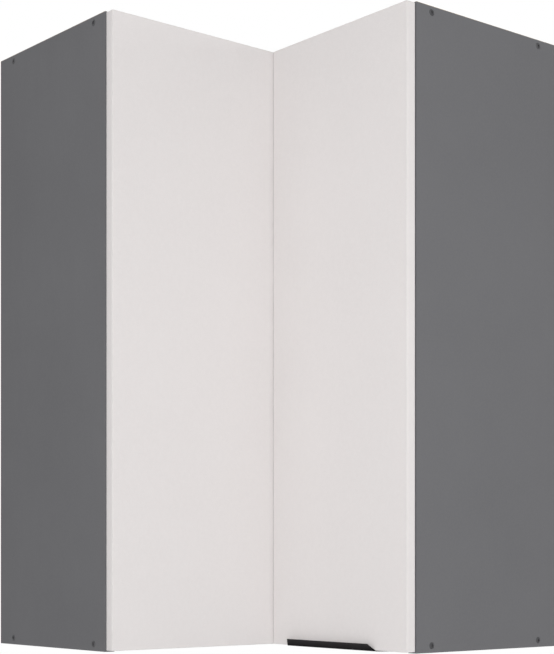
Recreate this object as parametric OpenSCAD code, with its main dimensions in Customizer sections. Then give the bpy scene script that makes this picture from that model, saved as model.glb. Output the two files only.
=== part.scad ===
// Corner wall cabinet with an L-shaped plan and a pair of folding doors.
// The room corner runs up the Z axis. One arm follows the wall at y = 0
// towards +X, the other follows the wall at x = 0 towards -Y.

/* [Carcass] */
// Length of each arm along its wall
arm_len = 600; // [500:10:800]
// Height of the cabinet
cab_h = 900; // [700:10:1000]
// Depth of each arm without its door
arm_depth = 292; // [270:1:340]
// Thickness of the carcass boards
board_t = 16; // [15:0.5:19]
// How far the bottom board sits above the end panels' lower edges
bottom_raise = 2; // [0:0.5:4]
// How far the top board sits below the end panels' upper edges
top_drop = 1; // [0:0.5:4]
// Thickness of the back panels
back_t = 3; // [2.5:0.5:4]
// Distance from the wall to the back panels' grooves
back_inset = 18; // [16:1:24]
// Depth of the back panels' grooves
groove_d = 8; // [6:0.5:9]
// Width of the corner post
post_w = 60; // [50:2:90]

/* [Shelves] */
// How far the shelves stand back from the carcass's front edges
shelf_setback = 20; // [10:1:40]
// Gap between a shelf and the boards beside it
shelf_gap = 1; // [0.5:0.5:2]
// Diameter of a shelf pin in its hole
pin_d = 5; // [4:0.5:6]
// Diameter of a shelf pin's nose
pin_nose_d = 7; // [5.5:0.5:8]
// Length of a shelf pin's nose
pin_nose_len = 10; // [6:1:14]

/* [Doors] */
// Thickness of the doors
door_t = 16; // [16:0.5:19]
// Gap between the carcass and the doors
door_gap = 1.5; // [1.5:0.1:2]
// How far each door stops short of its end panel's outer face
door_side = 1; // [0.5:0.5:2]
// How far the doors start above the end panels' lower edges
door_low = 2; // [1.5:0.5:4]
// How far the doors stop below the end panels' upper edges
door_high = 2; // [1:0.5:4]
// Gap between the right door's edge and the left door's face
leaf_gap = 1; // [0.5:0.1:1.5]

/* [Handle] */
// Distance from the door's inner edge to the edge pull
pull_inner_clear = 18; // [10:0.5:60]
// Distance from the door's free edge to the edge pull
pull_outer_clear = 46.5; // [30:0.5:60]
// Thickness of the pull's sheet
pull_t = 1.2; // [1:0.1:1.3]
// How far the pull's lip stands in front of the door
lip_reach = 9.5; // [8:0.5:14]
// Height of the leg on the door's rear face
leg_h = 21; // [18:1:30]

/* [Fasteners] */
// Distance from the front edge to the front panel screws
screw_front = 30; // [25:1:40]
// Distance from the rear edge to the rear panel screws
screw_rear = 39; // [32:1:60]
// Diameter of a panel screw's head
screw_head_d = 9.6; // [9:0.1:11]
// Length of a panel screw
screw_len = 50; // [40:5:50]

/* [Cup hinges] */
// Distance of the outer hinges from the cabinet's ends
hinge_end = 100; // [80:5:130]
// Diameter of the hinge cup
cup_d = 35; // [35:0.5:36]
// Depth of the hinge cup
cup_depth = 12; // [11.5:0.5:12]
// Distance from the end panel's outer face to the cup's centre
cup_centre = 22.5; // [22.5:0.5:24]

/* [Hidden] */
$fn = 48;

carcass_grey = [0.42, 0.42, 0.43];
door_white = [0.88, 0.86, 0.85];
black_metal = [0.12, 0.12, 0.13];
zinc = [0.72, 0.73, 0.75];
nickel = [0.66, 0.66, 0.68];
grey_plastic = [0.55, 0.56, 0.58];
board_white = [0.85, 0.85, 0.84];

tiny = 0.05;       // clearance between a fastener and its hole
cut = 1;           // how far a cutting tool runs past a face
groove_clear = 0.2;

// Boards
bottom_z = bottom_raise + board_t;            // upper face of the bottom board
top_z = cab_h - top_drop - board_t;           // lower face of the top board
inner_len = arm_len - board_t;                // wall corner to an end panel
post_x = 12;                                  // left wall to the post
post_y = 12;                                  // right wall to the post
groove_w = back_t + groove_clear;
groove_end = 0.5;                             // a back panel stops this short of a groove's floor
back_end = inner_len + groove_d - groove_end; // outer end of a back panel
notch_drop = 10;                              // back panel's notch below the hanger's top
notch_side = 2;                               // gap between the notch and the hanger

// Shelves
shelf_n = 2;
shelf_step = (top_z - bottom_z - shelf_n * board_t) / (shelf_n + 1);
function shelf_z(i) = bottom_z + shelf_step * (i + 1) + board_t * i;
shelf_front = arm_depth - shelf_setback;
shelf_left = back_inset + groove_w + shelf_gap + 1;
shelf_back = post_y + board_t + shelf_gap;
shelf_end = inner_len - shelf_gap;
pin_depth = 9;
pin_rear = 70;
pin_setback = 35;                             // front pins behind the shelf's front edge
pin_front = shelf_front - pin_setback;
pin_post_in = 18;                             // post's right side to the pins in it
pin_post = post_x + post_w - pin_post_in;
pin_seat = 0.5;                               // how far a pin stops short of its hole's end

// Panel screws
screw_neck_d = 7;
screw_thread_d = 6.2;
screw_head_h = 3;
socket_d = 4.6;
socket_h = 2.4;
screw_z = [bottom_raise + board_t / 2, cab_h - top_drop - board_t / 2];
post_screw_in = 22;                           // post's left side to its first screws
post_screw_pitch = 20;
post_screw_x = [post_x + post_screw_in, post_x + post_screw_in + post_screw_pitch];

// Doors, as distances from the walls
door_rear = arm_depth + door_gap;
door_face = door_rear + door_t;
door_z = door_low;
door_top = cab_h - door_high;
door_outer = arm_len - door_side;
left_door_inner = door_rear + 0.5;            // hidden behind the right door
right_door_inner = door_face + leaf_gap;

// Bumpers
bumper_d = 8;
bumper_end = 60;                              // cabinet's ends to the bumpers
bumper_gap = 0.2;

// Cup hinges. The local frame is x as it is and y from the end panel's
// outer face. The link turns in the arm's nose and in the cup.
hinge_levels = [hinge_end, cab_h / 2, cab_h - hinge_end];
link_arm_x = door_rear - 1;
link_arm_y = cup_centre + 11.5;
link_cup_x = door_rear + 3.5;
link_cup_y = cup_centre - 12;
hinge_pin_d = 2.4;
hinge_bore_d = hinge_pin_d + 0.1;
knuckle_r = 2.2;
ear_t = 2;
link_w = 8.4;                                 // height of the link along Z
ear_gap = link_w / 2 + 0.4;
cup_wall = 1;
flange_t = 0.8;
flange_w = 11;
flange_len = 53;
cup_screw_pitch = 45;
plate_back = 37;                              // front edge to the plate's screws
plate_t = 2;
plate_block = 9;
plate_len = 40;
plate_screw_pitch = 32;
arm_base = board_t + plate_t + plate_block;
arm_t = 3;
arm_w = 13;
arm_over = 3;                                 // the arm's end past the plate's block
arm_skirt_t = 1.5;
arm_skirt_gap = 1;                            // from the plate to the arm's side skirts
block_w = arm_w - 2 * arm_skirt_t - 1;
wing_r = 6;                                   // plate screws to the plate's edges
nose_x = arm_depth - 6;                       // where the arm's flat ends
ear_r = knuckle_r + 0.4;
ear_foot = 6;
ear_side = 1.6;
ear_tip = 2;
link_way = 7;
wood_screw_d = 3.4;
plate_screw_len = 12;
plate_head_d = 7;
plate_head_h = 2;
cup_screw_d = 3.2;
cup_screw_len = 12;
cup_head_d = 6;
cup_head_h = 0.6;
cup_ear = 4;                                  // width of the ears in the cup

// Fold hinges. The pin stands behind the joint between the doors.
fold_x = door_rear + 8.5;
fold_y = door_rear - 4.5;
fold_knuckle_r = 4;
fold_pin_d = 4;
fold_bore_d = fold_pin_d + 0.1;
fold_h = 50;
fold_mid = 17.4;
fold_slack = 0.3;
fold_t = 2;
fold_plate = 44;
fold_screw_pitch = 28;
fold_end = fold_h / 2 - fold_mid / 2 - fold_slack;
fold_root = 6;
fold_web = 3.2;
fold_tab = 7;                                 // strip that joins the plate to the middle knuckle
fold_screw_in = 7;                            // plate's far edge to its screws
fold_screw_len = 13;
fold_head_d = 6.4;
fold_head_h = 1.2;
fold_rivet = 1;                               // how far the pin's heads stand out all round

// Edge pull
pull_x0 = right_door_inner + pull_inner_clear;
pull_x1 = door_outer - pull_outer_clear;
pull_z = door_z - pull_t;
pull_front = door_face + 0.5;                 // where the lip starts to rise
pull_slope = pull_t * sqrt(2);                // the lip's thickness, measured level
pull_screw_end = 30;
pull_screw_x = [pull_x0 + pull_screw_end, (pull_x0 + pull_x1) / 2, pull_x1 - pull_screw_end];
pull_screw_z = pull_z + 12;
pull_screw_d = 2.8;
pull_screw_len = 12;
pull_head_d = 5.9;

// Hangers and wall plates
plate_wall_t = 1.5;
lip_gap = 3;
hook_t = 1.5;
hanger_x = back_inset + groove_w + 0.8;
hanger_len = 50;
hanger_t = 14;
hanger_drop = 70;                             // cabinet's top to the hangers' lower ends
hanger_z = cab_h - hanger_drop;
hanger_h = 50;
hanger_boss_x = [9, 41];
hanger_boss_z = 14;
hanger_boss_d = 10;
hanger_boss_len = 10;
hanger_screw_z = [15, 30];
hanger_screw_d = 5;
hanger_screw_len = 18;
cross_len = 3.6;                              // cross slot in the adjusting screws
cross_w = 0.8;
cross_z = 0.2;
hook_y = inner_len - 4;
hook_w = 8;
hook_travel = 3;                              // height that the slot leaves the hook each way
wall_plate_drop = 74;                         // cabinet's top to the wall plates' lower edges
wall_plate_z = cab_h - wall_plate_drop;
wall_plate_h = 41;
wall_plate_len = 82;
wall_plate_top = wall_plate_z + wall_plate_h;
wall_slot_pitch = 44;
wall_slot_len = 12;
wall_slot_d = 6.5;
lip_h = 10;
hook_z = wall_plate_top + lip_h + 0.3;        // underside of the hook's bar
hook_len = 34;                                // hook's bar inside the hanger
hook_in = hanger_x + hook_len;
hook_tooth_x = plate_wall_t + (lip_gap - hook_t) / 2;
tooth_h = lip_h - 2;

// Swaps the two arms.
module other_arm() { mirror([1, 1, 0]) children(); }

// Places a piece at one hinge level, with y from the left end panel's outer face.
module at_hinge(i) { translate([0, -arm_len, hinge_levels[i]]) children(); }

// Places a piece at one fold hinge.
module at_fold(i) { translate([0, 0, hinge_levels[i]]) children(); }

// A cylinder along +Y from a point.
module rod_y(p, d, len) { translate(p) rotate([-90, 0, 0]) cylinder(d = d, h = len); }

// A cylinder along +X from a point.
module rod_x(p, d, len) { translate(p) rotate([0, 90, 0]) cylinder(d = d, h = len); }

// L-shaped plan between two rear lines, an end line and a front line.
module l_plan(left, rear, end, front) {
    polygon([[left, -rear], [end, -rear], [end, -front], [front, -front],
             [front, -end], [left, -end]]);
}

// Panel screw along +Y from its head, or the hole for it when grow is set.
module panel_screw(grow = 0) {
    rod_y([0, -(grow > 0 ? cut : 0), 0], screw_head_d + 2 * grow,
          screw_head_h + (grow > 0 ? cut : 0) + grow);
    rod_y([0, screw_head_h, 0], screw_neck_d + 2 * grow, board_t - screw_head_h);
    rod_y([0, board_t - cut, 0], screw_thread_d + 2 * grow, screw_len - board_t + cut + 10 * grow);
}

module socketed_screw() {
    difference() {
        panel_screw();
        translate([0, -cut, 0]) rotate([-90, 0, 0])
            cylinder(d = socket_d, h = socket_h + cut, $fn = 6);
    }
}

// Places the four screws of the left end panel.
module at_end_screws() {
    for (z = screw_z, x = [screw_rear, arm_depth - screw_front])
        translate([x, -arm_len, z]) children();
}

// Places the post's screws, heads outwards, above and below.
module at_post_screws() {
    for (x = post_screw_x) {
        translate([x, -post_y - board_t / 2, cab_h - top_drop]) rotate([-90, 0, 0]) children();
        translate([x, -post_y - board_t / 2, bottom_raise]) rotate([90, 0, 0]) children();
    }
}

// Shelf pin along +Y, with its origin on the board's face.
module shelf_pin() {
    rod_y([0, pin_seat - pin_depth, 0], pin_d, pin_depth);
    rod_y([0, 0, 0], pin_nose_d, pin_nose_len);
}

module shelf_pin_hole() { rod_y([0, -pin_depth, 0], pin_d + 2 * tiny, pin_depth + cut); }

// Places the shelf pins that stand in the left end panel.
module at_end_pins() {
    for (i = [0 : shelf_n - 1], x = [pin_rear, pin_front])
        translate([x, -inner_len, shelf_z(i) - pin_nose_d / 2]) children();
}

// Places the shelf pins that stand in the corner post.
module at_post_pins() {
    for (i = [0 : shelf_n - 1])
        translate([pin_post, -post_y - board_t, shelf_z(i) - pin_nose_d / 2])
            mirror([0, 1, 0]) children();
}

// Groove for the left back panel, cut upwards from z.
module back_groove(z, h, y0, y1) {
    translate([back_inset, -y1, z]) cube([groove_w, y1 - y0, h]);
}

// End panel of the left arm. Only the one that carries the doors has hinge screws.
module end_panel(hinged) {
    difference() {
        translate([0, -arm_len, 0]) cube([arm_depth, board_t, cab_h]);
        back_groove(bottom_raise, top_z + board_t - bottom_raise, inner_len - cut,
                    inner_len + groove_d);
        at_end_screws() panel_screw(tiny);
        at_end_pins() shelf_pin_hole();
        at_hanger_bosses() rod_y([0, -hanger_boss_len - 0.5, 0], hanger_boss_d + 2 * tiny,
                                 hanger_boss_len + 0.5 + cut);
        if (hinged) for (i = [0 : 2]) at_hinge(i) at_plate_screws() plate_screw(tiny);
    }
}

module left_end_panel() { color(carcass_grey) end_panel(true); }

module right_end_panel() { color(carcass_grey) other_arm() end_panel(false); }

// Top or bottom board from z up, with its grooves cut between gz and gz + gh.
module l_board(z, gz, gh) {
    difference() {
        translate([0, 0, z]) linear_extrude(board_t) l_plan(0, 0, inner_len, arm_depth);
        back_groove(gz, gh, post_y + board_t - groove_d, inner_len + cut);
        other_arm() back_groove(gz, gh, post_x + post_w - groove_d, inner_len + cut);
        at_end_screws() panel_screw(tiny);
        other_arm() at_end_screws() panel_screw(tiny);
        at_post_screws() panel_screw(tiny);
    }
}

module top_panel() { color(carcass_grey) l_board(top_z, top_z - cut, groove_d + cut); }

module bottom_panel() {
    color(carcass_grey) l_board(bottom_raise, bottom_z - groove_d, groove_d + cut);
}

// Back panel of the left arm, whose inner end stands in the post.
module back_panel(inner) {
    difference() {
        translate([back_inset + groove_clear / 2, -back_end, bottom_z - groove_d + groove_end])
            cube([back_t, back_end - inner, top_z - bottom_z + 2 * (groove_d - groove_end)]);
        translate([0, -inner_len - cut, hanger_z + hanger_h - notch_drop])
            cube([2 * back_inset, hanger_t + notch_side + cut, 2 * hanger_h]);
    }
}

module left_back_panel() { color(board_white) back_panel(post_y + board_t - groove_d + groove_end); }

module right_back_panel() {
    color(board_white) other_arm() back_panel(post_x + post_w - groove_d + groove_end);
}

module corner_post() {
    color(carcass_grey) difference() {
        translate([post_x, -post_y - board_t, bottom_z]) cube([post_w, board_t, top_z - bottom_z]);
        back_groove(bottom_z - cut, cab_h, post_y + board_t - groove_d, post_y + board_t + cut);
        other_arm() back_groove(bottom_z - cut, cab_h, post_x + post_w - groove_d,
                                post_x + post_w + cut);
        at_post_screws() panel_screw(tiny);
        at_post_pins() shelf_pin_hole();
    }
}

module shelf(i) {
    color(carcass_grey) translate([0, 0, shelf_z(i)]) linear_extrude(board_t)
        l_plan(shelf_left, shelf_back, shelf_end, shelf_front);
}

module lower_shelf() { shelf(0); }

module upper_shelf() { shelf(1); }

module shelf_pins() {
    color(nickel) {
        at_end_pins() shelf_pin();
        other_arm() at_end_pins() shelf_pin();
        at_post_pins() shelf_pin();
    }
}

module panel_screws() {
    color(black_metal) {
        at_end_screws() socketed_screw();
        other_arm() at_end_screws() socketed_screw();
    }
}

module post_screws() { color(black_metal) at_post_screws() socketed_screw(); }

// Places the two bosses with which a hanger's housing stands in the end panel.
module at_hanger_bosses() {
    for (x = hanger_boss_x) translate([hanger_x + x, -inner_len, hanger_z + hanger_boss_z]) children();
}

module hanger() {
    difference() {
        union() {
            translate([hanger_x, -inner_len, hanger_z]) cube([hanger_len, hanger_t, hanger_h]);
            at_hanger_bosses() rod_y([0, -hanger_boss_len, 0], hanger_boss_d, hanger_boss_len);
        }
        // Slot that the hook slides in
        translate([hanger_x - cut, -hook_y - tiny, hook_z - hook_travel])
            cube([hook_in - hanger_x + 1.5 * cut, hook_w + 2 * tiny, hook_t + 2 * hook_travel]);
        at_hanger_screws() rod_x([-hanger_screw_len - cut, 0, 0], hanger_screw_d + 2 * tiny,
                                 hanger_screw_len + 2 * cut);
    }
}

// The two adjusting screws in a hanger's front face.
module at_hanger_screws() {
    for (z = hanger_screw_z)
        translate([hanger_x + hanger_len, -hook_y + hook_w / 2, hanger_z + z]) children();
}

module hook() {
    translate([hook_tooth_x, -hook_y, hook_z]) cube([hook_in - hook_tooth_x, hook_w, hook_t]);
    translate([hook_tooth_x, -hook_y, hook_z - tooth_h]) cube([hook_t, hook_w, tooth_h + hook_t]);
}

module hanger_screw() {
    difference() {
        rod_x([-hanger_screw_len, 0, 0], hanger_screw_d, hanger_screw_len + cut);
        for (a = [0, 90]) rotate([a, 0, 0])
            translate([cross_z, -cross_len / 2, -cross_w / 2]) cube([2 * cut, cross_len, cross_w]);
    }
}

// Steel plate on the wall. Its folded lip carries the hook.
module wall_plate() {
    y0 = -inner_len + 1;
    difference() {
        union() {
            translate([0, y0, wall_plate_z]) cube([plate_wall_t, wall_plate_len, wall_plate_h]);
            translate([0, y0, wall_plate_top - plate_wall_t])
                cube([2 * plate_wall_t + lip_gap, wall_plate_len, plate_wall_t]);
            translate([plate_wall_t + lip_gap, y0, wall_plate_top - plate_wall_t])
                cube([plate_wall_t, wall_plate_len, lip_h + plate_wall_t]);
        }
        for (s = [-1, 1]) translate([-cut, y0 + wall_plate_len / 2 + s * wall_slot_pitch / 2,
                                     wall_plate_z + wall_plate_h / 2])
            slot_x(wall_slot_d, wall_slot_len, plate_wall_t + 2 * cut);
    }
}

// Slot through a plate, along X, that is longest along Y.
module slot_x(d, len, depth) {
    for (s = [-1, 1]) rod_x([0, s * (len - d) / 2, 0], d, depth);
    translate([0, -(len - d) / 2, -d / 2]) cube([depth, len - d, d]);
}

module left_hanger() { color(grey_plastic) hanger(); }
module right_hanger() { color(grey_plastic) other_arm() hanger(); }
module left_hanger_hook() { color(zinc) hook(); }
module right_hanger_hook() { color(zinc) other_arm() hook(); }
module left_wall_plate() { color(zinc) wall_plate(); }
module right_wall_plate() { color(zinc) other_arm() wall_plate(); }

module hanger_screws() {
    color(zinc) {
        at_hanger_screws() hanger_screw();
        other_arm() at_hanger_screws() hanger_screw();
    }
}

// Wood screws of the hinges, along -Y into the end panel.
module plate_screw(grow = 0) {
    rod_y([0, -plate_screw_len - 2 * grow, 0], wood_screw_d + 2 * grow,
          plate_screw_len + 2 * grow + plate_t);
}

module at_plate_screws() {
    for (s = [-1, 1]) translate([arm_depth - plate_back, board_t, s * plate_screw_pitch / 2]) children();
}

// Hinge plate on the end panel: two wings and a raised block for the arm.
module hinge_plate() {
    difference() {
        union() {
            translate([arm_depth - plate_back - wing_r, board_t, -plate_screw_pitch / 2 - wing_r])
                cube([2 * wing_r, plate_t, plate_screw_pitch + 2 * wing_r]);
            translate([arm_depth - plate_back - plate_len / 2, board_t, -block_w / 2])
                cube([plate_len, plate_t + plate_block, block_w]);
        }
        at_plate_screws() rod_y([0, -cut, 0], wood_screw_d + 2 * tiny, plate_t + 2 * cut);
    }
}

// Hinge arm: a channel over the block whose nose carries the link between two ears.
module hinge_arm() {
    back = arm_depth - plate_back - plate_len / 2 - arm_over;
    difference() {
        union() {
            translate([back, arm_base, -arm_w / 2]) cube([nose_x - back, arm_t, arm_w]);
            for (s = [-1, 1]) translate([back, board_t + plate_t + arm_skirt_gap,
                                         s * (arm_w - arm_skirt_t) / 2 - arm_skirt_t / 2])
                cube([plate_len + arm_over, plate_block + arm_t - arm_skirt_gap, arm_skirt_t]);
            for (s = [-1, 1]) translate([0, 0, s * (ear_gap + ear_t / 2) - ear_t / 2])
                linear_extrude(ear_t) difference() {
                    union() {
                        translate([link_arm_x, link_arm_y]) circle(ear_r);
                        polygon([[nose_x - ear_foot, arm_base], [nose_x, arm_base],
                                 [link_arm_x + ear_side, link_arm_y - ear_tip],
                                 [link_arm_x - ear_side, link_arm_y + ear_tip],
                                 [nose_x - ear_foot, arm_base + 2 * arm_t]]);
                    }
                    translate([link_arm_x, link_arm_y]) circle(d = hinge_pin_d + 2 * tiny);
                }
        }
        // Way for the link between the ears
        translate([link_arm_x - link_way, arm_base - cut, -ear_gap + 2 * tiny])
            cube([3 * link_way, 3 * link_way, 2 * ear_gap - 4 * tiny]);
    }
}

// Curved link between the arm's nose and the cup, as a strip of constant thickness.
module hinge_link() {
    dx = link_cup_x - link_arm_x;
    dy = link_arm_y - link_cup_y;
    linear_extrude(link_w, center = true) difference() {
        union() {
            translate([link_arm_x, link_arm_y]) circle(knuckle_r);
            translate([link_cup_x, link_cup_y]) circle(knuckle_r);
            polygon([
                [link_arm_x + 1.5, link_arm_y + 0.8], [link_arm_x - 1.5, link_arm_y - 1.2],
                [link_cup_x + 0.6, link_cup_y + dy * 0.5], [link_cup_x + 1.4, link_cup_y + dy * 0.22],
                [link_cup_x - 1.2, link_cup_y + 1.2], [link_cup_x + 1.2, link_cup_y - 1],
                [link_cup_x + 3.7, link_cup_y + dy * 0.16], [link_cup_x + 3, link_cup_y + dy * 0.57]
            ]);
        }
        translate([link_arm_x, link_arm_y]) circle(d = hinge_bore_d);
        translate([link_cup_x, link_cup_y]) circle(d = hinge_bore_d);
    }
}

// Cup pressed into the door, with two wings and two ears for the link's pin.
module hinge_cup() {
    difference() {
        union() {
            rod_x([door_rear - flange_t, cup_centre, 0], cup_d - 2 * tiny, cup_depth + flange_t);
            rod_x([door_rear - flange_t, cup_centre, 0], cup_d + 2, flange_t);
            translate([door_rear - flange_t, cup_centre - flange_w / 2, -flange_len / 2])
                cube([flange_t, flange_w, flange_len]);
        }
        rod_x([door_rear - flange_t - cut, cup_centre, 0], cup_d - 2 * cup_wall - 2 * tiny,
              cup_depth + flange_t + cut - cup_wall);
        at_cup_screws() rod_x([-cut, 0, 0], cup_screw_d + 2 * tiny, flange_t + 2 * cut);
    }
    for (s = [-1, 1]) difference() {
        translate([link_cup_x - cup_ear / 2, link_cup_y - cup_ear / 2,
                   s * (ear_gap + ear_t / 2) - ear_t / 2])
            cube([door_rear + cup_depth - cup_wall / 2 - link_cup_x + cup_ear / 2, cup_ear, ear_t]);
        translate([link_cup_x, link_cup_y, 0])
            cylinder(d = hinge_pin_d + 2 * tiny, h = cup_d, center = true);
    }
}

module at_cup_screws() {
    for (s = [-1, 1]) translate([door_rear - flange_t, cup_centre, s * cup_screw_pitch / 2]) children();
}

// Screw with a flat head whose underside is at its origin, along +X.
module flat_screw_x(d, len, head_d, head_h) {
    rod_x([0, 0, 0], d, len);
    rod_x([-head_h, 0, 0], head_d, head_h);
}

module lower_hinge_plate() { color(nickel) at_hinge(0) hinge_plate(); }
module middle_hinge_plate() { color(nickel) at_hinge(1) hinge_plate(); }
module upper_hinge_plate() { color(nickel) at_hinge(2) hinge_plate(); }
module lower_hinge_arm() { color(nickel) at_hinge(0) hinge_arm(); }
module middle_hinge_arm() { color(nickel) at_hinge(1) hinge_arm(); }
module upper_hinge_arm() { color(nickel) at_hinge(2) hinge_arm(); }
module lower_hinge_link() { color(zinc) at_hinge(0) hinge_link(); }
module middle_hinge_link() { color(zinc) at_hinge(1) hinge_link(); }
module upper_hinge_link() { color(zinc) at_hinge(2) hinge_link(); }
module lower_hinge_cup() { color(nickel) at_hinge(0) hinge_cup(); }
module middle_hinge_cup() { color(nickel) at_hinge(1) hinge_cup(); }
module upper_hinge_cup() { color(nickel) at_hinge(2) hinge_cup(); }

module hinge_arm_pins() {
    color(zinc) for (i = [0 : 2]) at_hinge(i) translate([link_arm_x, link_arm_y, 0])
        cylinder(d = hinge_pin_d, h = 2 * (ear_gap + ear_t), center = true);
}

module hinge_cup_pins() {
    color(zinc) for (i = [0 : 2]) at_hinge(i) translate([link_cup_x, link_cup_y, 0])
        cylinder(d = hinge_pin_d, h = 2 * (ear_gap + ear_t), center = true);
}

module hinge_plate_screws() {
    color(zinc) for (i = [0 : 2]) at_hinge(i) at_plate_screws() {
        plate_screw();
        rod_y([0, plate_t, 0], plate_head_d, plate_head_h);
    }
}

module hinge_cup_screws() {
    color(zinc) for (i = [0 : 2]) at_hinge(i) at_cup_screws()
        flat_screw_x(cup_screw_d, cup_screw_len, cup_head_d, cup_head_h);
}

// Fold hinge leaf on the left door: a plate, a web and two knuckles.
module fold_leaf_left() {
    difference() {
        union() {
            translate([door_rear - fold_t, -fold_y - fold_plate - fold_root / 2, -fold_h / 2])
                cube([fold_t, fold_plate, fold_h]);
            for (s = [-1, 1]) translate([0, 0, s * (fold_mid / 2 + fold_slack) - (s < 0 ? fold_end : 0)])
                linear_extrude(fold_end) {
                    translate([door_rear - fold_t, -fold_y - fold_root])
                        square([fold_t, fold_root + fold_knuckle_r / 2]);
                    translate([door_rear - fold_t, -fold_y - fold_web / 2])
                        square([fold_x - door_rear + fold_t, fold_web]);
                    translate([fold_x, -fold_y]) circle(fold_knuckle_r);
                }
        }
        fold_bore();
        at_fold_screws_left() rod_x([-fold_t - cut, 0, 0], wood_screw_d + 2 * tiny, fold_t + 2 * cut);
    }
}

module fold_bore() {
    translate([fold_x, -fold_y, 0]) cylinder(d = fold_bore_d, h = 2 * fold_h, center = true);
}

// Fold hinge leaf on the right door: a plate and the middle knuckle.
module fold_leaf_right() {
    difference() {
        union() {
            translate([fold_x + fold_tab - 0.5, -door_rear, -fold_h / 2])
                cube([fold_plate, fold_t, fold_h]);
            translate([fold_x, -door_rear, -fold_mid / 2]) cube([fold_tab, fold_t, fold_mid]);
            translate([fold_x, -fold_y, 0]) cylinder(r = fold_knuckle_r, h = fold_mid, center = true);
        }
        fold_bore();
        at_fold_screws_right() rotate([0, 0, -90])
            rod_x([-fold_t - cut, 0, 0], wood_screw_d + 2 * tiny, fold_t + 2 * cut);
    }
}

module at_fold_screws_left() {
    for (s = [-1, 1]) translate([door_rear, -fold_y - fold_plate + fold_screw_in,
                                 s * fold_screw_pitch / 2]) children();
}

module at_fold_screws_right() {
    for (s = [-1, 1]) translate([fold_x + fold_plate - fold_screw_in / 2, -door_rear,
                                 s * fold_screw_pitch / 2]) children();
}

module fold_screw() {
    translate([-fold_t, 0, 0]) flat_screw_x(wood_screw_d, fold_screw_len, fold_head_d, fold_head_h);
}

module lower_fold_leaf_left() { color(nickel) at_fold(0) fold_leaf_left(); }
module middle_fold_leaf_left() { color(nickel) at_fold(1) fold_leaf_left(); }
module upper_fold_leaf_left() { color(nickel) at_fold(2) fold_leaf_left(); }
module lower_fold_leaf_right() { color(nickel) at_fold(0) fold_leaf_right(); }
module middle_fold_leaf_right() { color(nickel) at_fold(1) fold_leaf_right(); }
module upper_fold_leaf_right() { color(nickel) at_fold(2) fold_leaf_right(); }

module fold_pins() {
    color(zinc) for (i = [0 : 2]) at_fold(i) translate([fold_x, -fold_y, 0]) {
        cylinder(d = fold_pin_d, h = fold_h + fold_rivet, center = true);
        for (s = [-1, 1]) translate([0, 0, s * (fold_h + fold_rivet + 0.8) / 2])
            cylinder(d = fold_pin_d + 2 * fold_rivet, h = 1.6 * fold_rivet, center = true);
    }
}

module fold_screws_left() {
    color(zinc) for (i = [0 : 2]) at_fold(i) at_fold_screws_left() fold_screw();
}

module fold_screws_right() {
    color(zinc) for (i = [0 : 2]) at_fold(i) at_fold_screws_right() rotate([0, 0, -90]) fold_screw();
}

module left_door() {
    color(door_white) difference() {
        translate([door_rear, -door_outer, door_z])
            cube([door_t, door_outer - left_door_inner, door_top - door_z]);
        for (i = [0 : 2]) {
            at_hinge(i) {
                rod_x([door_rear - cut, cup_centre, 0], cup_d, cup_depth + 1.5 * cut);
                at_cup_screws() rod_x([0, 0, 0], cup_screw_d + 2 * tiny, cup_screw_len + cut / 2);
            }
            at_fold(i) at_fold_screws_left()
                rod_x([-cut, 0, 0], wood_screw_d + 2 * tiny, fold_screw_len);
        }
    }
}

module right_door() {
    color(door_white) difference() {
        translate([right_door_inner, -door_face, door_z])
            cube([door_outer - right_door_inner, door_t, door_top - door_z]);
        for (i = [0 : 2]) at_fold(i) at_fold_screws_right() rotate([0, 0, -90])
            rod_x([-cut, 0, 0], wood_screw_d + 2 * tiny, fold_screw_len);
        at_pull_screws() cylinder(d = pull_screw_d + 2 * tiny, h = pull_screw_len + cut);
    }
}

// Places the pull's screws, pointing along -Y into the right door's rear face.
module at_pull_screws() {
    for (x = pull_screw_x) translate([x, -door_rear, pull_screw_z]) rotate([90, 0, 0]) children();
}

// Edge pull: a leg behind the door, a flat under it and a lip that rises in front
// at 45 degrees. Its ends are mitred at 45 degrees in plan.
module edge_pull() {
    lip_front = door_face + lip_reach;
    lip_z = pull_z + lip_front - pull_front;
    color(black_metal) difference() {
        intersection() {
            translate([pull_x0, 0, 0]) rotate([90, 0, 90]) linear_extrude(pull_x1 - pull_x0) polygon([
                [-door_rear + pull_t, pull_z], [-pull_front, pull_z], [-lip_front, lip_z],
                [-lip_front + pull_slope / 2, lip_z + pull_slope / 2],
                [-door_face, pull_z + pull_t], [-door_rear, pull_z + pull_t],
                [-door_rear, pull_z + leg_h], [-door_rear + pull_t, pull_z + leg_h]
            ]);
            translate([0, 0, pull_z - cut]) linear_extrude(leg_h + 2 * cut) polygon([
                [pull_x0, -door_rear + 2 * pull_t], [pull_x1, -door_rear + 2 * pull_t],
                [pull_x1, -door_rear], [pull_x1 - door_t - lip_reach, -door_face - lip_reach],
                [pull_x0 + door_t + lip_reach, -door_face - lip_reach], [pull_x0, -door_rear]
            ]);
        }
        at_pull_screws() translate([0, 0, -pull_t])
            cylinder(d1 = pull_head_d + 4 * tiny, d2 = pull_screw_d + 6 * tiny, h = pull_t + tiny / 5);
    }
}

module pull_screws() {
    color(black_metal) at_pull_screws() {
        translate([0, 0, -pull_t]) cylinder(d1 = pull_head_d, d2 = pull_screw_d, h = pull_t);
        cylinder(d = pull_screw_d, h = pull_screw_len);
    }
}

module door_bumpers() {
    color(grey_plastic) for (z = [bumper_end, cab_h - bumper_end])
        translate([arm_len - board_t / 2, -door_rear, z]) rotate([-90, 0, 0])
            cylinder(d = bumper_d, h = door_gap - bumper_gap);
}

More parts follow.
